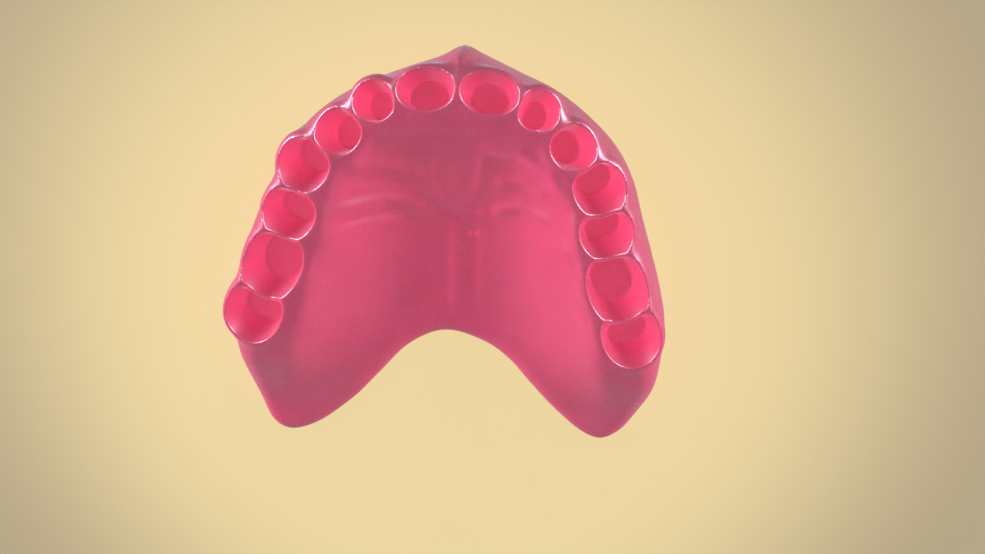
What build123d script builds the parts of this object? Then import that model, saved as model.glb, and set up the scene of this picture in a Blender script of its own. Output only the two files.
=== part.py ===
"""Upper denture base: one moulded shell with fourteen open tooth sockets.

The base covers the palate and the ridge of an upper jaw. Fourteen tapered sockets stand along the
ridge, ready for denture teeth, and the underside is hollow where it seats on the gum. The whole
base is a single piece, so it is one node.

Millimetres. +Z points out of the mouth's roof, through the socket mouths. +Y points to the lips and
+X to one cheek. The base rests on Z = 0, and the origin is under the middle of its outline.
"""

from build123d import *
import math
import os

# Heights above the surface that the base rests on.
RIM_HEIGHT = 13.6  # mouths of the sockets
CREST_HEIGHT = 13.4  # saddle between two sockets
VAULT_HEIGHT = 2.4  # lowest part of the palate, on the tongue's side
RIDGE_ROOM = 6.8  # ceiling of the hollow over the gum ridge

# Walls.
PALATE_WALL = 2.0
FLANGE_WALL = 2.3
CUFF_WALL = 0.8  # wall round a socket where it stands out of the base
# How far the flange leans in from its border, as height and distance: it rounds over at the top.
FLANGE_LEAN = [(0.0, 0.0), (5.0, 0.15), (9.0, 0.6), (12.0, 1.5), (15.0, 3.6)]

# The palate is a rounded vault: its outline narrows to the front and widens to the back.
DOME_Y = -4.0
DOME_LENGTH = 29.5
DOME_HALF_WIDTH = 21.6
DOME_POWER = 3.0  # 2 would be an ellipse in front of DOME_Y
WIDENS_BEHIND_Y = 4.0
WIDENS_BY = 0.33  # half width gained for each millimetre further back
CREST_SHARE = 0.80  # share of the way from the middle to the sockets where the crest begins
CREST_ROUND = 0.12
BOWL_POWER = 2.5  # how steeply the vault curves up to the crest
TAIL_START_Y = -9.5  # behind the last sockets the crest falls away
TAIL_DROP = 10.2
TAIL_LENGTH = 18.0

# Sockets.
SOCKET_DEPTH = 5.2
ROOT_DEPTH = 10.0  # how far down the flange a collar's bulge runs
SOCKET_MOUTH_ABOVE = 1.0  # the cutter runs this far out of the mouth
OUTLINE_POINTS = 16

# One row for each pair of sockets: facing is the turn of the cheek side away from +Y, width runs
# along the arch and breadth across it, power shapes the outline (2 is an ellipse), lean is how many
# degrees the mouth leans to the lip or cheek and away from the midline, share is the floor's size
# as a share of the mouth's, and shift is how far the floor stands off the mouth's middle.
SOCKETS = {
    "central_incisor": dict(right=(4.5, 24.8), left=(-3.9, 24.8), facing=6, width=7.6, breadth=5.5,
                            power=2.1, lean=(11, 0), share=(0.74, 0.77), shift=(0.0, -0.55)),
    "lateral_incisor": dict(right=(11.0, 22.9), left=(-10.7, 22.9), facing=28, width=5.6, breadth=5.4,
                            power=2.1, lean=(8, 0), share=(0.66, 0.70), shift=(0.1, -0.7)),
    "canine": dict(right=(15.9, 18.4), left=(-15.3, 18.6), facing=50, width=6.3, breadth=5.9,
                   power=2.1, lean=(6, 2), share=(0.72, 0.70), shift=(0.1, -0.75)),
    "first_premolar": dict(right=(19.8, 13.1), left=(-20.0, 13.9), facing=60, width=7.2, breadth=6.9,
                           power=2.15, lean=(2, 5), share=(0.54, 0.76), shift=(-0.4, -0.2)),
    "second_premolar": dict(right=(21.2, 7.3), left=(-22.0, 7.2), facing=62, width=7.3, breadth=7.2,
                            power=2.15, lean=(2, 5), share=(0.46, 0.76), shift=(0.35, -0.2)),
    "first_molar": dict(right=(23.3, -0.3), left=(-24.3, -0.2), facing=66, width=10.6, breadth=8.0,
                        power=2.2, lean=(2, 5), share=(0.64, 0.76), shift=(0.3, -0.3)),
    "second_molar": dict(right=(25.9, -7.1), left=(-27.1, -7.3), facing=66, width=9.8, breadth=8.0,
                         power=2.2, lean=(2, 5), share=(0.37, 0.75), shift=(1.0, -0.3)),
}

# Border of the base in plan, from the middle of the lip along +X to the back and round to the lip.
CHEEK_RIGHT = [(0.2, 30.3), (3.4, 28.9), (8.2, 26.9), (13.2, 24.8), (18.1, 21.5), (22.4, 17.5), (25.1, 13.2),
               (26.9, 8.0), (28.7, 3.0), (30.4, -2.0), (31.6, -7.0), (31.6, -12.5), (30.9, -18.0), (29.3, -23.0)]
BACK = [(27.4, -26.6), (24.3, -28.6), (20.8, -27.6), (16.4, -24.0), (12.4, -19.9), (9.0, -16.4), (5.0, -14.0),
        (-1.0, -12.7), (-6.4, -15.2), (-10.8, -20.1), (-14.8, -24.7), (-20.2, -29.2), (-24.8, -30.8), (-28.0, -29.0)]
CHEEK_LEFT = [(-29.8, -24.5), (-30.8, -19.0), (-31.6, -12.5), (-31.6, -7.0), (-30.4, -1.0), (-28.8, 4.5),
              (-26.4, 10.0), (-24.3, 15.0), (-20.2, 20.0), (-15.2, 23.6), (-9.0, 26.4), (-3.2, 28.6)]

# Notches that clear the lip's and cheeks' frena: x, y and turn of the notch away from +Y.
NOTCHES = [(0.0, 28.5, 0, 1.6), (23.2, 13.0, 66, 1.9), (-23.2, 13.0, -66, 1.9)]

MIDLINE_X = 0.49  # the palate's midline, measured from the middle of the outline
BEYOND = 8.0  # how far cutting blocks run past the base
SURFACE_STEPS = 24
CURVE_PIECES = 10


def smooth(share):
    """0 below 0, 1 above 1, and an even curve between them."""
    share = min(1.0, max(0.0, share))
    return share * share * (3.0 - 2.0 * share)


def lower_of(a, b, blend):
    """The lower of two heights, with a rounded join of about the size of blend."""
    return 0.5 * (a + b - math.sqrt((a - b) ** 2 + blend**2))


def closed_curve(points, height):
    """A smooth closed wire through plan points at one height, in pieces of equal length."""
    whole = Edge.make_spline([Vector(x, y, height) for x, y in points], periodic=True)
    cuts = [k / CURVE_PIECES for k in range(CURVE_PIECES + 1)]
    return Wire([whole.trim(start, end) for start, end in zip(cuts, cuts[1:])])


def moved_in(points, distance):
    """Plan points of a clockwise closed outline, each moved in by distance."""
    moved = []
    for index, (x, y) in enumerate(points):
        before, after = points[index - 1], points[(index + 1) % len(points)]
        along_x, along_y = after[0] - before[0], after[1] - before[1]
        length = math.hypot(along_x, along_y)
        moved.append((x + along_y / length * distance, y - along_x / length * distance))
    return moved


def outline(cheek_inset=0.0, back_run=0.0):
    """The border in plan, moved in at the cheeks and run out at the back."""
    points = CHEEK_RIGHT + BACK + CHEEK_LEFT
    inner = moved_in(points, cheek_inset)
    first, last = len(CHEEK_RIGHT), len(CHEEK_RIGHT) + len(BACK)
    return [(x, y - back_run) if first <= index < last else (x, y) for index, (x, y) in enumerate(inner)]


def palate_share(x, y):
    """0 in the middle of the palate, 1 on the line of the sockets."""
    half_width = DOME_HALF_WIDTH + WIDENS_BY * lower_of(0.0, y - WIDENS_BEHIND_Y, 1.0) * -1.0
    sideways, forward = abs(x) / half_width, max(0.0, y - DOME_Y) / DOME_LENGTH
    return (sideways**DOME_POWER + forward**DOME_POWER) ** (1 / DOME_POWER)


def crest_height(y):
    """Height of the ridge's crest, which falls away behind the last sockets."""
    return CREST_HEIGHT - TAIL_DROP * smooth((TAIL_START_Y - y) / TAIL_LENGTH)


def tongue_height(x, y):
    """Height of the polished side of the base at a plan point."""
    rise = lower_of((palate_share(x, y) / CREST_SHARE) ** BOWL_POWER, 1.0, CREST_ROUND)
    return VAULT_HEIGHT + (crest_height(y) - VAULT_HEIGHT) * rise


def gum_height(x, y):
    """Height of the hollow side: one wall below the polished side, and lower under the sockets."""
    step = 0.5
    here = tongue_height(x, y)
    slope_x = (tongue_height(x + step, y) - tongue_height(x - step, y)) / (2 * step)
    slope_y = (tongue_height(x, y + step) - tongue_height(x, y - step)) / (2 * step)
    steep = min(1.9, math.sqrt(1.0 + slope_x**2 + slope_y**2))
    return lower_of(here - PALATE_WALL * steep, RIDGE_ROOM, 1.0)


def block_under(height_at, reach_x, low_y, high_y, depth):
    """A block whose top follows a height function and whose foot is level with its lowest cut."""
    rows = []
    for i in range(SURFACE_STEPS + 1):
        y = low_y + (high_y - low_y) * i / SURFACE_STEPS
        rows.append([
            Vector(x, y, height_at(x, y))
            for x in (-reach_x + 2 * reach_x * j / SURFACE_STEPS for j in range(SURFACE_STEPS + 1))
        ])
    skin = Face.make_surface_from_array_of_points(rows, tol=0.03, min_deg=3, max_deg=3)
    return Solid.extrude(skin, Vector(0, 0, -depth))


def shell():
    """The base before its sockets, solid down to its foot."""
    sides = Solid.make_loft([closed_curve(outline(inset), height) for height, inset in FLANGE_LEAN])
    return sides & block_under(tongue_height, 36.0, -34.0, 34.0, 40.0)


def gum_hollow():
    """The space that the gum ridge and the palate take, open at the foot and at the back."""
    sides = Solid.make_loft([
        closed_curve(outline(FLANGE_WALL, BEYOND), -1.0),
        closed_curve(outline(FLANGE_WALL + 0.6, BEYOND), RIDGE_ROOM),
        closed_curve(outline(FLANGE_WALL + 1.2, BEYOND), RIM_HEIGHT),
    ])
    return sides & block_under(gum_height, 38.0, -44.0, 36.0, 45.0)


def socket_plane(centre, facing, lean, side):
    """Plane of a socket's mouth: X along the arch away from the midline, Y to the cheek, Z out."""
    turn = math.radians(facing) * side
    cheek_way = Vector(math.sin(turn), math.cos(turn), 0)
    along = Vector(math.cos(turn), -math.sin(turn), 0) * side
    out, back = (math.tan(math.radians(angle)) for angle in lean)
    axis = (Vector(0, 0, 1) + cheek_way * out + along * back).normalized()
    return Plane(origin=Vector(centre[0], centre[1], RIM_HEIGHT), x_dir=along - axis * along.dot(axis), z_dir=axis)


def socket_outline(plane, width, breadth, power, height, grow=0.0, shift=(0.0, 0.0)):
    """Closed super-ellipse at a height over the mouth's plane."""
    half_width, half_breadth = width / 2 + grow, breadth / 2 + grow
    points = []
    for step in range(OUTLINE_POINTS):
        angle = 2 * math.pi * (step + 0.5) / OUTLINE_POINTS
        c, s = math.cos(angle), math.sin(angle)
        u = half_width * math.copysign(abs(c) ** (2 / power), c)
        v = half_breadth * math.copysign(abs(s) ** (2 / power), s)
        points.append(plane.from_local_coords(Vector(u + shift[0], v + shift[1], height)))
    return Wire(Edge.make_spline(points, periodic=True))


def cuff(plane, row):
    """The raised collar round a socket, with the bulge of a root below it."""
    size = (row["width"], row["breadth"], row["power"])
    return Solid.make_loft([
        socket_outline(plane, *size, -ROOT_DEPTH, CUFF_WALL - 1.8),
        socket_outline(plane, *size, -SOCKET_DEPTH, CUFF_WALL * 0.6),
        socket_outline(plane, *size, -SOCKET_DEPTH * 0.4, CUFF_WALL),
        socket_outline(plane, *size, 0.0, CUFF_WALL * 0.75),
    ])


def cavity(plane, row, side):
    """The open space in a socket, with a flat floor and walls that spread to the mouth."""
    beyond = SOCKET_MOUTH_ABOVE / SOCKET_DEPTH
    shift_along, shift_across = row["shift"][0], row["shift"][1] * side  # the plane's Y turns over with the side
    floor = [size * share for size, share in zip((row["width"], row["breadth"]), row["share"])]
    mouth = [size * (1 + (1 - share) * beyond) for size, share in zip((row["width"], row["breadth"]), row["share"])]
    return Solid.make_loft([
        socket_outline(plane, *floor, row["power"], -SOCKET_DEPTH, shift=(shift_along, shift_across)),
        socket_outline(plane, *mouth, row["power"], SOCKET_MOUTH_ABOVE,
                       shift=(-beyond * shift_along, -beyond * shift_across)),
    ], ruled=True)


def frenum_notch(x, y, turn, radius):
    """A round notch through the foot of the flange."""
    way = Vector(math.sin(math.radians(turn)), math.cos(math.radians(turn)), 0)
    start = Vector(x, y, 0.6) - way * 4.0
    return Solid.make_cylinder(radius, 9.0, Plane(origin=start, z_dir=way))


def denture_base():
    """The whole base as one solid."""
    body = shell().cut(*[frenum_notch(x, y, turn, radius) for x, y, turn, radius in NOTCHES])
    # From the back teeth to the front, so that each socket's collar stands in front of the next.
    for row in reversed(SOCKETS.values()):
        planes = [(socket_plane(row[key], row["facing"], row["lean"], side), side)
                  for side, key in ((1, "right"), (-1, "left"))]
        body = body.fuse(*[cuff(plane, row) for plane, side in planes])
        body = body.cut(*[cavity(plane, row, side) for plane, side in planes])
    return body.cut(gum_hollow())


os.makedirs("parts", exist_ok=True)
export_step(denture_base().moved(Location((MIDLINE_X, 0, 0))), "parts/denture_base.step")
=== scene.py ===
"""Upper denture base in polished pink acrylic, with its sockets, palate folds and rolled borders.

The base is one moulded piece, so one smooth surface stands for the CAD node. Its form is worked out
as a solid in space, in millimetres, from a border line, two height fields and a table of sockets,
and is then turned into a mesh.
"""

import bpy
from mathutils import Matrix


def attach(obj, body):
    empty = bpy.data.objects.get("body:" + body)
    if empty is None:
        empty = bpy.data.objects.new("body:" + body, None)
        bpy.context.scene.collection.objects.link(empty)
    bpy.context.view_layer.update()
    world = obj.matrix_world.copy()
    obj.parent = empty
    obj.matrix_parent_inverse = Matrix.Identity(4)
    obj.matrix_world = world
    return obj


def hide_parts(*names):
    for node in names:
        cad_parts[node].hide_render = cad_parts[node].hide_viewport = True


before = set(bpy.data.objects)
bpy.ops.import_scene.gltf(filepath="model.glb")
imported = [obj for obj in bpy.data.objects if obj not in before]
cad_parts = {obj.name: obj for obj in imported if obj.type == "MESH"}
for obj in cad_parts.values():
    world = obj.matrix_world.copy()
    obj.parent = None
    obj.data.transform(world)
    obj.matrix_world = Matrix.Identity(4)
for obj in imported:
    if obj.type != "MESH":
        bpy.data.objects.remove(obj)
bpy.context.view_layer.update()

import math
from types import SimpleNamespace

import bpy
import numpy as np
import openvdb
from bpy.props import FloatProperty, FloatVectorProperty, PointerProperty
from mathutils import Matrix, Vector

bl_info = {
    "name": "Upper Denture Base",
    "version": (1, 0, 0),
    "blender": (4, 5, 0),
    "location": "View3D > Sidebar > Denture",
    "description": "Builds a pink acrylic denture base with empty tooth sockets",
    "category": "Add Mesh",
}

MM = 0.001
NODE = "denture_base"

# The palate's midline, measured from the middle of the outline.
MIDLINE_X = 0.49

# The gum side: how high the ridge's channel reaches, and the steepness up to which the palate's
# wall keeps its thickness.
RIDGE_ROOM = 6.8
RIDGE_ROUND = 1.6
STEEPEST_WALL = 1.9

# The flange leans in towards its top, slowly at the foot, and the gum side follows it in part.
FLANGE_LEAN = 3.6
FLANGE_LEAN_HEIGHT = 15.0
FLANGE_LEAN_POWER = 3.3
GUM_LEAN_SHARE = 0.6

# The palate is a rounded vault: its outline narrows to the front and widens to the back.
DOME_Y = -4.0
DOME_LENGTH = 29.5
DOME_HALF_WIDTH = 21.6
DOME_POWER = 3.0
WIDENS_BEHIND_Y = 4.0
WIDENS_BY = 0.33
CREST_SHARE = 0.80
CREST_ROUND = 0.16
BOWL_POWER = 2.5
TAIL_START_Y = -9.5
TAIL_DROP = 10.2
TAIL_LENGTH = 18.0

# Roundings, as the reach of each smooth join.
SHOULDER_ROUND = 2.6
FOOT_ROUND = 1.2
INNER_ROUND = 1.4
BORDER_ROUND = 0.9
CUFF_BLEND = 1.3
RIM_ROUND = 1.8
EDGE_ROUND = 0.08
FLOOR_ROUND = 0.5
TOP_ROUND = 0.5
NOTCH_ROUND = 1.8
NOTCH_END_ROUND = 0.5

# The collar has its whole wall at the waist, part way down the socket, and a share of it at the
# mouth and at the socket's floor. Below the floor the root's bulge tapers in by this much.
MOUTH_SHARE = 0.75
WAIST_DEPTH_SHARE = 0.4
FLOOR_SHARE = 0.55
ROOT_TAPER = 1.9
ROOT_DEPTH = 10.0

# A socket's cavity opens on past its mouth, to this many times its depth.
CAVITY_RUN = 1.3

# No part of a socket is farther than this from its centre in plan, and none is above this height.
SOCKET_REACH = 9.0
TOP_HEIGHT = 13.9

# One row for each pair of sockets, with centres in plan. Facing is the turn of the cheek side away
# from the lips in degrees. Width runs along the arch and breadth across it. Power shapes the
# outline. Lean is how far the mouth leans to the cheek and to the back, in degrees. Share is the
# floor's size against the mouth's, along and across, and shift is how far it is off centre.
SOCKETS = (
    dict(right=(4.5, 24.8), left=(-3.9, 24.8), facing=6, width=7.6, breadth=5.5,
         power=2.1, lean=(11, 0), share=(0.74, 0.77), shift=(0.0, -0.55)),
    dict(right=(11.0, 22.9), left=(-10.7, 22.9), facing=28, width=5.6, breadth=5.4,
         power=2.1, lean=(8, 0), share=(0.66, 0.70), shift=(0.1, -0.7)),
    dict(right=(15.9, 18.4), left=(-15.3, 18.6), facing=50, width=6.3, breadth=5.9,
         power=2.1, lean=(6, 2), share=(0.72, 0.70), shift=(0.1, -0.75)),
    dict(right=(19.8, 13.1), left=(-20.0, 13.9), facing=60, width=7.2, breadth=6.9,
         power=2.15, lean=(2, 5), share=(0.54, 0.76), shift=(-0.4, -0.2)),
    dict(right=(21.2, 7.3), left=(-22.0, 7.2), facing=62, width=7.3, breadth=7.2,
         power=2.15, lean=(2, 5), share=(0.46, 0.76), shift=(0.35, -0.2)),
    dict(right=(23.3, -0.3), left=(-24.3, -0.2), facing=66, width=10.6, breadth=8.0,
         power=2.2, lean=(2, 5), share=(0.64, 0.76), shift=(0.3, -0.3)),
    dict(right=(25.9, -7.1), left=(-27.1, -7.3), facing=66, width=9.8, breadth=8.0,
         power=2.2, lean=(2, 5), share=(0.37, 0.75), shift=(1.0, -0.3)),
)

# Border of the base in plan, from the middle of the lip along +X to the back and round to the lip.
CHEEK_RIGHT = [
    (0.2, 30.3), (3.4, 28.9), (8.2, 26.9), (13.2, 24.8), (18.1, 21.5), (22.4, 17.5), (25.1, 13.2),
    (26.9, 8.0), (28.7, 3.0), (30.4, -2.0), (31.6, -7.0), (31.6, -12.5), (30.9, -18.0),
    (29.3, -23.0),
]
BACK = [
    (27.4, -26.6), (24.3, -28.6), (20.8, -27.6), (16.4, -24.0), (12.4, -19.9), (9.0, -16.4),
    (5.0, -14.0), (-1.0, -12.7), (-6.4, -15.2), (-10.8, -20.1), (-14.8, -24.7), (-20.2, -29.2),
    (-24.8, -30.8), (-28.0, -29.0),
]
CHEEK_LEFT = [
    (-29.8, -24.5), (-30.8, -19.0), (-31.6, -12.5), (-31.6, -7.0), (-30.4, -1.0), (-28.8, 4.5),
    (-26.4, 10.0), (-24.3, 15.0), (-20.2, 20.0), (-15.2, 23.6), (-9.0, 26.4), (-3.2, 28.6),
]

# The gum side runs out through the back of the base, past the border by this much.
BEYOND = 8.0

# Notches for the lip's and cheeks' frena: x, y, turn and radius.
NOTCHES = [(0.0, 28.5, 0, 1.6), (23.2, 13.0, 66, 1.9), (-23.2, 13.0, -66, 1.9)]
NOTCH_HEIGHT = 0.6
NOTCH_OUTWARD = 0.5
NOTCH_HALF_LENGTH = 4.5

# Folds of the palate: a path in plan, the height of the fold and its half width. Below 0 is a
# groove. Each fold fades over this share of its length at both ends.
FADE_SHARE = 0.25
FOLDS = [
    ([(-16.0, 7.6), (-9.7, 8.6), (-4.2, 7.4)], 0.6, 1.0),
    ([(-14.5, 13.9), (-8.6, 13.6), (-3.8, 12.2)], 0.6, 1.1),
    ([(2.9, 17.4), (8.9, 16.9), (12.9, 14.4), (15.4, 11.0)], 0.7, 0.9),
    ([(5.4, 11.8), (9.8, 12.6), (13.0, 10.6)], 0.4, 1.1),
    ([(5.0, 7.2), (9.4, 8.6), (14.0, 7.0)], 0.5, 1.0),
    ([(-2.4, 15.4), (-2.6, 11.8), (-0.9, 8.2)], 0.36, 0.8),
    ([(3.9, 16.4), (3.6, 12.0), (2.2, 8.4)], 0.36, 0.8),
    ([(0.5, 15.5), (0.5, 12.0), (0.6, 9.6)], 0.3, 1.1),
    ([(-3.0, 7.2), (0.6, 6.3), (4.0, 7.4)], -0.35, 0.7),
    ([(-16.0, 5.6), (-10.5, 6.4), (-5.5, 5.6)], -0.3, 0.7),
    ([(-14.0, 11.6), (-8.6, 11.4), (-4.6, 10.2)], -0.3, 0.7),
    ([(-1.4, 6.4), (-1.2, 0.6), (-0.9, -9.0)], -0.2, 0.9),
    ([(2.7, 6.8), (3.0, 0.8), (3.3, -8.0)], -0.2, 0.9),
    ([(0.8, 5.5), (0.9, -9.0)], 0.2, 1.3),
    ([(15.0, 6.9), (17.4, 2.2), (19.8, -2.5)], -0.3, 0.5),
    ([(2.4, 3.9), (2.9, 3.3)], -0.35, 0.5),
]

# The grid's step and corners. The low corner keeps the flat foot between two layers.
VOXEL = 0.21
GRID_LOW = (-34.537, -33.137, -0.937)
GRID_HIGH = (34.5, 32.4, 16.5)
CURVE_STEPS = 10
FAR = 1e9
TINY = 1e-12
SMALL = 1e-9
NEAR_MIDDLE = 0.05

SOFT_WHITE = (1.0, 0.97, 1.0)
LILAC = (0.9, 0.8, 1.0)
LIT_POINT = (0.0, 0.0, 0.006)

# Studio lights: place and width in metres, strength against the light setting, and colour, then
# whether the light casts shadows, shows in gloss and lights matt surfaces.
LIGHTS = {
    "side_right": ((0.36, 0.02, 0.085), 0.12, 4.6, SOFT_WHITE, False, False, True),
    "side_left": ((-0.36, 0.02, 0.085), 0.12, 6.2, SOFT_WHITE, False, False, True),
    "front_high": ((0.02, 0.34, 0.26), 0.14, 0.25, SOFT_WHITE, True, False, True),
    "rear_low": ((0.0, -0.34, 0.16), 0.16, 0.7, SOFT_WHITE, False, False, True),
    "glint_right": ((0.31, 0.2, 0.12), 0.12, 7.0, LILAC, True, True, False),
    "glint_left": ((-0.31, 0.18, 0.12), 0.12, 7.0, LILAC, True, True, False),
}

# The camera looks down at this point on the rims, from a distance and with its own sideways and
# upward shift, in millimetres. It is tilted to the lips, turned and rolled by these degrees.
CAMERA_POINT = (MIDLINE_X, 5.75, 13.5)
CAMERA_DISTANCE = 121.9
CAMERA_SHIFT = (5.88, -5.9)
CAMERA_TILT = 16.0
CAMERA_TURN = 2.0
CAMERA_ROLL = 3.3

FLOOR_REACH = 1.5
FLOOR_GAP = 0.0002


def smooth(share):
    """0 below 0, 1 above 1, and an even curve between them."""
    share = np.clip(share, 0.0, 1.0)
    return share * share * (3.0 - 2.0 * share)


def higher(a, b, reach):
    """The larger of two fields, joined by a rounding of that reach."""
    gap = np.maximum(reach - np.abs(a - b), 0.0)
    return np.maximum(a, b) + gap * gap / (4.0 * reach)


def lower(a, b, reach):
    """The smaller of two fields, joined by a rounding of that reach."""
    return -higher(-a, -b, reach)


def closed_line(points):
    """A smooth closed line through plan points, as many short steps."""
    control = np.array(points, float)
    before, after = np.roll(control, 1, 0), np.roll(control, -1, 0)
    beyond = np.roll(control, -2, 0)
    steps = []
    for t in np.arange(CURVE_STEPS) / CURVE_STEPS:
        steps.append(0.5 * (2 * control + (after - before) * t
                            + (2 * before - 5 * control + 4 * after - beyond) * t**2
                            + (3 * control - before - 3 * after + beyond) * t**3))
    return np.stack(steps, 1).reshape(-1, 2)


def border_line(back_run=0.0):
    """The border in plan, with its back run out by a distance."""
    back = [(x, y - back_run) for x, y in BACK]
    return closed_line(CHEEK_RIGHT + back + CHEEK_LEFT)


def depth_inside(x, y, line):
    """Distance from each plan point to a closed line, positive inside it."""
    flat = np.stack([x.ravel(), y.ravel()], 1)
    nearest = np.full(len(flat), FAR)
    inside = np.zeros(len(flat), bool)
    for start, end in zip(line, np.roll(line, -1, 0)):
        way, off = end - start, flat - start
        share = np.clip(off @ way / max(way @ way, TINY), 0.0, 1.0)
        nearest = np.minimum(nearest, ((off - share[:, None] * way) ** 2).sum(1))
        crosses = (start[1] > flat[:, 1]) != (end[1] > flat[:, 1])
        if crosses.any():
            reach = start[0] + way[0] * (flat[:, 1] - start[1]) / (way[1] if way[1] else TINY)
            inside ^= crosses & (flat[:, 0] < reach)
    depth = np.sqrt(nearest) * np.where(inside, 1.0, -1.0)
    return depth.reshape(x.shape)


def fold_height(x, y, path, height, half_width):
    """A rounded fold along an open path that fades at both ends."""
    points = np.array(path, float)
    lengths = np.hypot(*np.diff(points, axis=0).T)
    total, walked = lengths.sum(), 0.0
    best = np.full(x.shape, FAR)
    along = np.zeros(x.shape)
    for start, end, length in zip(points, points[1:], lengths):
        way = (end - start) / length
        share = np.clip((x - start[0]) * way[0] + (y - start[1]) * way[1], 0.0, length)
        gap = np.hypot(x - start[0] - share * way[0], y - start[1] - share * way[1])
        along = np.where(gap < best, walked + share, along)
        best = np.minimum(best, gap)
        walked += length
    fade = smooth(np.minimum(along, total - along) / (FADE_SHARE * total) + FADE_SHARE)
    return height * fade * np.exp(-(best / half_width) ** 2)


def palate_heights(x, y, size):
    """Height of the polished side of the base over plan points, without its folds."""
    half_width = DOME_HALF_WIDTH + WIDENS_BY * np.maximum(0.0, WIDENS_BEHIND_Y - y)
    sideways, forward = np.abs(x) / half_width, np.maximum(0.0, y - DOME_Y) / DOME_LENGTH
    share = (sideways**DOME_POWER + forward**DOME_POWER + SMALL) ** (1 / DOME_POWER)
    crest = size.crest_height - TAIL_DROP * smooth((TAIL_START_Y - y) / TAIL_LENGTH)
    bowl = lower((share / CREST_SHARE) ** BOWL_POWER, np.ones_like(x), CREST_ROUND)
    return size.vault_height + (crest - size.vault_height) * bowl


def steepness(heights):
    """Length of the normal over plan points, which turns a height gap into a distance."""
    slope_x, slope_y = np.gradient(heights, VOXEL)
    return np.sqrt(1.0 + slope_x**2 + slope_y**2)


class Socket:
    """One socket: its frame in space and its outline."""

    def __init__(self, row, side, size):
        self.row = row
        self.size = size
        turn = math.radians(row["facing"]) * side
        self.cheek_way = np.array([math.sin(turn), math.cos(turn), 0.0])
        self.along = np.array([math.cos(turn), -math.sin(turn), 0.0]) * side
        out, back = (math.tan(math.radians(angle)) for angle in row["lean"])
        axis = np.array([0.0, 0.0, 1.0]) + self.cheek_way * out + self.along * back
        self.axis = axis / np.linalg.norm(axis)
        u_way = self.along - self.axis * (self.along @ self.axis)
        self.u_way = u_way / np.linalg.norm(u_way)
        self.v_way = np.cross(self.axis, self.u_way)
        if self.v_way @ self.cheek_way < 0:
            self.v_way = -self.v_way
        self.centre = np.array([*row["right" if side > 0 else "left"], size.rim_height])

    def local(self, x, y, z):
        """Coordinates along the arch, to the cheek and out of the mouth."""
        off = (x - self.centre[0], y - self.centre[1], z - self.centre[2])
        ways = (self.u_way, self.v_way, self.axis)
        return tuple(sum(o * w for o, w in zip(off, way)) for way in ways)

    def outside(self, u, v, half_width, half_breadth):
        """Distance out from the socket's outline of that size, negative inside it."""
        power = self.row["power"]
        across, over = np.abs(u / half_width) ** power, np.abs(v / half_breadth) ** power
        ratio = (across + over + SMALL) ** (1 / power)
        gap = np.hypot(u, v) * (1.0 - 1.0 / ratio)
        # Close to the middle the gap would fade to 0, so a half width is taken off.
        return gap - np.where(ratio < NEAR_MIDDLE, half_width, 0.0)

    def cuff(self, u, v, w):
        """Field of the collar round the socket and the root's bulge below it."""
        wall, depth = self.size.cuff_wall, self.size.socket_depth
        grow = np.interp(w, (-ROOT_DEPTH, -depth, -WAIST_DEPTH_SHARE * depth, 0.0),
                         (wall - ROOT_TAPER, wall * FLOOR_SHARE, wall, wall * MOUTH_SHARE))
        side = self.outside(u, v, self.row["width"] / 2 + grow, self.row["breadth"] / 2 + grow)
        ends = np.maximum(w, -ROOT_DEPTH - w)
        return higher(side, ends, RIM_ROUND)

    def cavity(self, u, v, w):
        """Field of the open space in the socket."""
        depth = self.size.socket_depth
        rise = np.clip((w + depth) / depth, 0.0, CAVITY_RUN)
        share_u, share_v = self.row["share"]
        shift_u, shift_v = self.row["shift"]
        half_width = self.row["width"] / 2 * (share_u + (1 - share_u) * rise)
        half_breadth = self.row["breadth"] / 2 * (share_v + (1 - share_v) * rise)
        off_u, off_v = u - shift_u * (1 - rise), v - shift_v * (1 - rise)
        side = self.outside(off_u, off_v, half_width, half_breadth)
        return higher(side, -(w + depth), FLOOR_ROUND)


def sockets(size):
    """Every socket, from the lips to the back, the right one of each pair first."""
    return [Socket(row, side, size) for row in SOCKETS for side in (1, -1)]


def notch_field(x, y, z, row):
    """Field of a rounded notch through the foot of the flange."""
    centre_x, centre_y, turn, radius = row
    way = (math.sin(math.radians(turn)), math.cos(math.radians(turn)))
    along = (x - centre_x) * way[0] + (y - centre_y) * way[1]
    across = (x - centre_x) * way[1] - (y - centre_y) * way[0]
    ends = np.abs(along - NOTCH_OUTWARD) - NOTCH_HALF_LENGTH
    return higher(np.hypot(across, z - NOTCH_HEIGHT) - radius, ends, NOTCH_END_ROUND)


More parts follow.
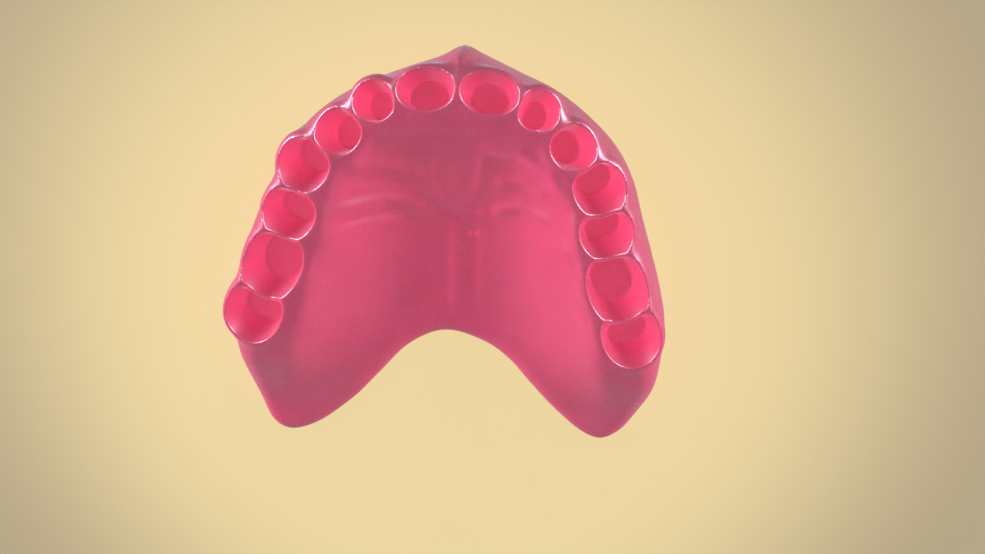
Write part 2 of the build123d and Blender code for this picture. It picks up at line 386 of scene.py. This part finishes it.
def denture_field(size):
    """The base's field on the grid, negative inside the acrylic."""
    counts = [int((high - low) / VOXEL) + 1 for low, high in zip(GRID_LOW, GRID_HIGH)]
    axes = [low + VOXEL * np.arange(count) for low, count in zip(GRID_LOW, counts)]
    plan_x, plan_y = np.meshgrid(axes[0], axes[1], indexing="ij")
    edge = depth_inside(plan_x, plan_y, border_line())[:, :, None]
    open_edge = depth_inside(plan_x, plan_y, border_line(BEYOND))[:, :, None]
    plain_top = palate_heights(plan_x, plan_y, size)
    steep = steepness(plain_top)
    top = plain_top + sum(fold_height(plan_x, plan_y, *fold) for fold in FOLDS)
    thinned = plain_top - size.palate_wall * np.minimum(steep, STEEPEST_WALL)
    gum = lower(thinned, np.full_like(top, RIDGE_ROOM), RIDGE_ROUND)
    x, y, z = plan_x[:, :, None], plan_y[:, :, None], axes[2][None, None, :]
    lean = FLANGE_LEAN * (np.maximum(z, 0.0) / FLANGE_LEAN_HEIGHT) ** FLANGE_LEAN_POWER
    solid = higher((z - top[:, :, None]) / steep[:, :, None], lean - edge, SHOULDER_ROUND)
    hollow = higher((z - gum[:, :, None]) / steepness(gum)[:, :, None],
                    size.flange_wall + GUM_LEAN_SHARE * lean - open_edge, INNER_ROUND)
    # From the back teeth to the front, so that each socket's collar stands in front of the next.
    for socket in reversed(sockets(size)):
        window = tuple(slice(max(int((middle - SOCKET_REACH - low) / VOXEL), 0),
                             int((middle + SOCKET_REACH - low) / VOXEL))
                       for middle, low in zip(socket.centre[:2], GRID_LOW))
        local = socket.local(x[window[0], window[1]], y[window[0], window[1]], z)
        body = lower(solid[window], socket.cuff(*local), CUFF_BLEND)
        solid[window] = higher(body, -socket.cavity(*local), EDGE_ROUND)
    solid = higher(solid, z - TOP_HEIGHT, TOP_ROUND)
    solid = higher(solid, -hollow, BORDER_ROUND)
    solid = higher(solid, -z, FOOT_ROUND)
    for row in NOTCHES:
        solid = higher(solid, -notch_field(x, y, z, row), NOTCH_ROUND)
    return solid


def mesh_from_field(name, field):
    """A smooth-shaded mesh of the surface where a field is 0."""
    grid = openvdb.FloatGrid(1.0)
    grid.copyFromArray(np.ascontiguousarray(field, np.float32))
    grid.transform = openvdb.createLinearTransform(VOXEL)
    points, quads = grid.convertToQuads(isovalue=0.0)
    points = (points + np.array(GRID_LOW) + np.array([MIDLINE_X, 0.0, 0.0])) * MM
    mesh = bpy.data.meshes.new(name)
    mesh.from_pydata(points.tolist(), [], quads[:, ::-1].tolist())
    mesh.validate()
    mesh.shade_smooth()
    return mesh


def add_node(tree, kind, place, **values):
    """A shader node at a place in the tree, with values for its properties or sockets."""
    node = tree.nodes.new(kind)
    node.location = place
    for key, value in values.items():
        if hasattr(node, key):
            setattr(node, key, value)
        else:
            node.inputs[key].default_value = value
    return node


def set_inputs(node, values):
    """Give a shader node's sockets their values, by name."""
    for name, value in values.items():
        node.inputs[name].default_value = value


def fresh_material(name):
    """A material with an empty node tree and its output."""
    material = bpy.data.materials.new(name)
    material.use_nodes = True
    tree = material.node_tree
    tree.nodes.clear()
    return material, tree, add_node(tree, "ShaderNodeOutputMaterial", (700, 0))


def pink_acrylic(finish):
    """Polished pink acrylic: deep in colour, faintly mottled, with a fine satin grain."""
    material, tree, output = fresh_material("pink_acrylic")
    link = tree.links.new
    shader = add_node(tree, "ShaderNodeBsdfPrincipled", (400, 0))
    set_inputs(shader, {
        "Roughness": 0.42, "Specular IOR Level": 1.0, "IOR": 1.55, "Subsurface Weight": 0.15,
        "Subsurface Radius": (1.0, 0.25, 0.35), "Subsurface Scale": 0.0015,
        "Coat Roughness": 0.28, "Sheen Weight": 0.25, "Sheen Roughness": 0.35,
        "Sheen Tint": (0.85, 0.75, 1.0, 1.0),
    })
    link(shader.outputs["BSDF"], output.inputs["Surface"])
    place = add_node(tree, "ShaderNodeTexCoord", (-1100, 0)).outputs["Object"]

    # Colour, in soft patches.
    mottle = add_node(tree, "ShaderNodeTexNoise", (-850, 200),
                      Scale=220.0, Detail=4.0, Roughness=0.6)
    spread = add_node(tree, "ShaderNodeMapRange", (-600, 200))
    set_inputs(spread, {"From Min": 0.35, "From Max": 0.65})
    tint = add_node(tree, "ShaderNodeMix", (-350, 200), data_type="RGBA")
    set_inputs(tint, {"A": (*finish.pink, 1.0), "B": (*finish.pink_deep, 1.0)})
    link(place, mottle.inputs["Vector"])
    link(mottle.outputs["Fac"], spread.inputs["Value"])
    link(spread.outputs["Result"], tint.inputs["Factor"])
    link(tint.outputs["Result"], shader.inputs["Base Color"])

    # Grain in the polish: a fine noise over a soft one.
    grain = add_node(tree, "ShaderNodeTexNoise", (-850, -250),
                     Scale=9000.0, Detail=2.0, Roughness=0.8)
    soft = add_node(tree, "ShaderNodeTexNoise", (-850, -450),
                    Scale=700.0, Detail=3.0, Roughness=0.5)
    heights = add_node(tree, "ShaderNodeMath", (-600, -300), operation="MULTIPLY_ADD")
    heights.inputs[1].default_value = 0.35
    bump = add_node(tree, "ShaderNodeBump", (0, -300), Strength=0.6 * finish.grain, Distance=0.0001)
    link(place, grain.inputs["Vector"])
    link(place, soft.inputs["Vector"])
    link(grain.outputs["Fac"], heights.inputs[0])
    link(soft.outputs["Fac"], heights.inputs[2])
    link(heights.outputs["Value"], bump.inputs["Height"])
    link(bump.outputs["Normal"], shader.inputs["Coat Normal"])

    # Gloss that comes and goes in small specks.
    speckle = add_node(tree, "ShaderNodeTexNoise", (-250, -600),
                       Scale=4200.0, Detail=1.0, Roughness=0.6)
    gloss = add_node(tree, "ShaderNodeMapRange", (0, -600))
    set_inputs(gloss, {"From Min": 0.47, "From Max": 0.56, "To Max": finish.grain})
    link(place, speckle.inputs["Vector"])
    link(speckle.outputs["Fac"], gloss.inputs["Value"])
    link(gloss.outputs["Result"], shader.inputs["Coat Weight"])
    return material


def sand_board(finish):
    """Matt pale sand board that glows from within, with a painted pool of light that darkens to a
    painted shade away from its middle.
    """
    material, tree, output = fresh_material("sand_board")
    link = tree.links.new
    shader = add_node(tree, "ShaderNodeBsdfPrincipled", (400, 0))
    set_inputs(shader, {
        "Roughness": 0.9, "Specular IOR Level": 0.1, "Emission Strength": finish.floor_glow})
    link(shader.outputs["BSDF"], output.inputs["Surface"])
    place = add_node(tree, "ShaderNodeTexCoord", (-1100, 0)).outputs["Object"]

    # Sand colour, in faint clouds.
    clouds = add_node(tree, "ShaderNodeTexNoise", (-850, 250),
                      Scale=35.0, Detail=5.0, Roughness=0.6)
    tint = add_node(tree, "ShaderNodeMix", (-350, 200), data_type="RGBA")
    set_inputs(tint, {
        "A": (*finish.floor_colour, 1.0), "B": (*[0.97 * v for v in finish.floor_colour], 1.0)})
    link(place, clouds.inputs["Vector"])
    link(clouds.outputs["Fac"], tint.inputs["Factor"])

    # Painted pool of light: the glow and the colour fade to a painted shade away from the middle.
    middle = add_node(tree, "ShaderNodeMapping", (-1000, -100), Location=(0.0, 0.012, 0.0))
    distance = add_node(tree, "ShaderNodeVectorMath", (-800, -100), operation="LENGTH")
    painted_light_falloff = add_node(tree, "ShaderNodeMapRange", (-600, -100), interpolation_type="SMOOTHSTEP")
    set_inputs(painted_light_falloff, {"From Min": 0.04, "From Max": 0.09})
    # The painted shade's colour, reached away from the middle.
    painted_edge_shade = add_node(tree, "ShaderNodeMix", (0, 0), data_type="RGBA")
    set_inputs(painted_edge_shade, {"B": (0.43, 0.355, 0.22, 1.0)})
    link(place, middle.inputs["Vector"])
    link(middle.outputs["Vector"], distance.inputs[0])
    link(distance.outputs["Value"], painted_light_falloff.inputs["Value"])
    link(painted_light_falloff.outputs["Result"], painted_edge_shade.inputs["Factor"])
    link(tint.outputs["Result"], painted_edge_shade.inputs["A"])
    link(painted_edge_shade.outputs["Result"], shader.inputs["Emission Color"])

    # The board gives back little of the lights' own light.
    muted = add_node(tree, "ShaderNodeVectorMath", (200, 100), operation="SCALE", Scale=0.3)
    link(painted_edge_shade.outputs["Result"], muted.inputs[0])
    link(muted.outputs["Vector"], shader.inputs["Base Color"])
    return material


def link_object(name, data):
    """A new object in the scene."""
    thing = bpy.data.objects.new(name, data)
    bpy.context.scene.collection.objects.link(thing)
    return thing


def area_light(name, place, width, power, colour, shadow, glossy, diffuse):
    """A soft square light at a place in metres, turned to the base."""
    light = bpy.data.lights.new(name, "AREA")
    light.shape = "SQUARE"
    light.size = width
    light.energy = power
    light.color = colour
    light.use_shadow = shadow
    light.cycles.cast_shadow = shadow
    thing = link_object(name, light)
    thing.visible_glossy = glossy
    thing.visible_diffuse = diffuse
    thing.location = place
    way = Vector(LIT_POINT) - Vector(place)
    thing.rotation_euler = way.to_track_quat("-Z", "Y").to_euler()


def lay_board(finish):
    """The board under the base, unseen in gloss."""
    mesh = bpy.data.meshes.new("sand_board")
    corners = [(-1, -1), (1, -1), (1, 1), (-1, 1)]
    mesh.from_pydata([(x * FLOOR_REACH, y * FLOOR_REACH, 0) for x, y in corners],
                     [], [(0, 1, 2, 3)])
    mesh.materials.append(sand_board(finish))
    board = link_object("sand_board", mesh)
    board.location.z = -FLOOR_GAP
    board.visible_glossy = False


def light_room(scene, power):
    """The studio's even light and its lamps."""
    world = bpy.data.worlds.new("studio")
    world.use_nodes = True
    set_inputs(world.node_tree.nodes["Background"],
               {"Color": (1.0, 0.93, 1.0, 1.0), "Strength": 0.24})
    scene.world = world
    for name, (place, width, strength, *rest) in LIGHTS.items():
        area_light(name, place, width, power * strength, *rest)


def stand_camera(scene, lens):
    """The camera, above the base and a little to its front."""
    camera = bpy.data.cameras.new("camera")
    camera.lens = lens
    camera.clip_start = 0.005
    eye = link_object("camera", camera)
    tilt, turn = math.radians(CAMERA_TILT), math.radians(CAMERA_TURN)
    back = Vector((math.sin(turn) * math.cos(tilt), math.sin(tilt), math.cos(turn) * math.cos(tilt)))
    level = Vector((0.0, 1.0, 0.0)).cross(back).normalized()
    roll = Matrix.Rotation(math.radians(CAMERA_ROLL), 3, back)
    right, up = roll @ level, roll @ back.cross(level)
    place = (Vector(CAMERA_POINT) + CAMERA_DISTANCE * back
             + CAMERA_SHIFT[0] * right + CAMERA_SHIFT[1] * up) * MM
    columns = (right, up, back, place)
    eye.matrix_world = Matrix([[column[i] for column in columns] for i in range(3)] + [(0, 0, 0, 1)])
    scene.camera = eye


class DentureSizes(bpy.types.PropertyGroup):
    """Heights and wall thicknesses of the base."""

    rim_height: FloatProperty(
        name="Rim height", description="Height of the sockets' mouths above the foot of the flange",
        default=13.6 * MM, min=0.0, unit="LENGTH")
    crest_height: FloatProperty(
        name="Crest height", description="Height of the ridge between the sockets",
        default=13.5 * MM, min=0.0, unit="LENGTH")
    vault_height: FloatProperty(
        name="Vault height", description="Height of the polished palate at its lowest",
        default=2.4 * MM, min=0.0, unit="LENGTH")
    palate_wall: FloatProperty(
        name="Palate wall", description="Thickness of the acrylic over the palate",
        default=2.0 * MM, min=0.0, unit="LENGTH")
    flange_wall: FloatProperty(
        name="Flange wall", description="Thickness of the flange at its foot",
        default=2.3 * MM, min=0.0, unit="LENGTH")
    cuff_wall: FloatProperty(
        name="Collar wall", description="Thickness of the collar round each socket",
        default=0.8 * MM, min=0.0, unit="LENGTH")
    socket_depth: FloatProperty(
        name="Socket depth", description="Depth of each socket from its mouth to its floor",
        default=5.2 * MM, min=0.1 * MM, unit="LENGTH")


class DentureFinish(bpy.types.PropertyGroup):
    """Colours and finish of the base and its stage."""

    pink: FloatVectorProperty(
        name="Pink", description="Main colour of the acrylic", subtype="COLOR", size=3,
        min=0.0, max=1.0, default=(0.6, 0.057, 0.142))
    pink_deep: FloatVectorProperty(
        name="Deep pink", description="Colour of the mottling", subtype="COLOR", size=3,
        min=0.0, max=1.0, default=(0.55, 0.051, 0.128))
    grain: FloatProperty(
        name="Grain", description="Strength of the fine satin grain", default=1.0,
        min=0.0, max=1.0, subtype="FACTOR")
    floor_colour: FloatVectorProperty(
        name="Floor", description="Colour of the backdrop board", subtype="COLOR", size=3,
        min=0.0, max=1.0, default=(0.8, 0.65, 0.34))
    floor_glow: FloatProperty(
        name="Floor glow", description="How far the backdrop board is lit from within",
        default=0.78, min=0.0)
    key_power: FloatProperty(
        name="Light", description="Power that each lamp's own strength multiplies", default=0.35,
        min=0.0, unit="POWER")
    lens: FloatProperty(
        name="Lens", description="Focal length of the camera", default=32.9,
        min=1.0, unit="CAMERA")


def in_millimetres(sizes):
    """The sizes that a user sets, as plain numbers in millimetres."""
    names = DentureSizes.__annotations__
    return SimpleNamespace(**{name: getattr(sizes, name) / MM for name in names})


class DENTURE_OT_base(bpy.types.Operator):
    """Build the denture base and give it its acrylic"""

    bl_idname = "denture.base"
    bl_label = "Denture base"

    def execute(self, context):
        size = in_millimetres(context.scene.denture_sizes)
        mesh = mesh_from_field("denture_base_skin", denture_field(size))
        if len(mesh.polygons) == 0:
            raise RuntimeError("the denture base has no surface")
        base = link_object("denture_base_skin", mesh)
        base.data.materials.append(pink_acrylic(context.scene.denture_finish))
        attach(base, "root")
        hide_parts(NODE)
        return {"FINISHED"}


class DENTURE_OT_stage(bpy.types.Operator):
    """Lay the backdrop and set the lights and the camera"""

    bl_idname = "denture.stage"
    bl_label = "Stage"

    def execute(self, context):
        scene, finish = context.scene, context.scene.denture_finish
        scene.view_settings.view_transform = "Standard"
        lay_board(finish)
        light_room(scene, finish.key_power)
        stand_camera(scene, finish.lens)
        return {"FINISHED"}


class DENTURE_PT_panel(bpy.types.Panel):
    """Buttons for the base and its stage"""

    bl_idname = "DENTURE_PT_panel"
    bl_label = "Denture base"
    bl_space_type = "VIEW_3D"
    bl_region_type = "UI"
    bl_category = "Denture"

    def draw(self, context):
        for group in (context.scene.denture_sizes, context.scene.denture_finish):
            for name in type(group).__annotations__:
                self.layout.prop(group, name)
        for operator in (DENTURE_OT_base, DENTURE_OT_stage):
            self.layout.operator(operator.bl_idname)


CLASSES = (DentureSizes, DentureFinish, DENTURE_OT_base, DENTURE_OT_stage, DENTURE_PT_panel)


def register():
    for kind in CLASSES:
        bpy.utils.register_class(kind)
    bpy.types.Scene.denture_sizes = PointerProperty(type=DentureSizes)
    bpy.types.Scene.denture_finish = PointerProperty(type=DentureFinish)


def unregister():
    del bpy.types.Scene.denture_finish
    del bpy.types.Scene.denture_sizes
    for kind in reversed(CLASSES):
        bpy.utils.unregister_class(kind)


def main():
    register()
    bpy.ops.denture.stage()
    bpy.ops.denture.base()


if __name__ == "__main__":
    main()
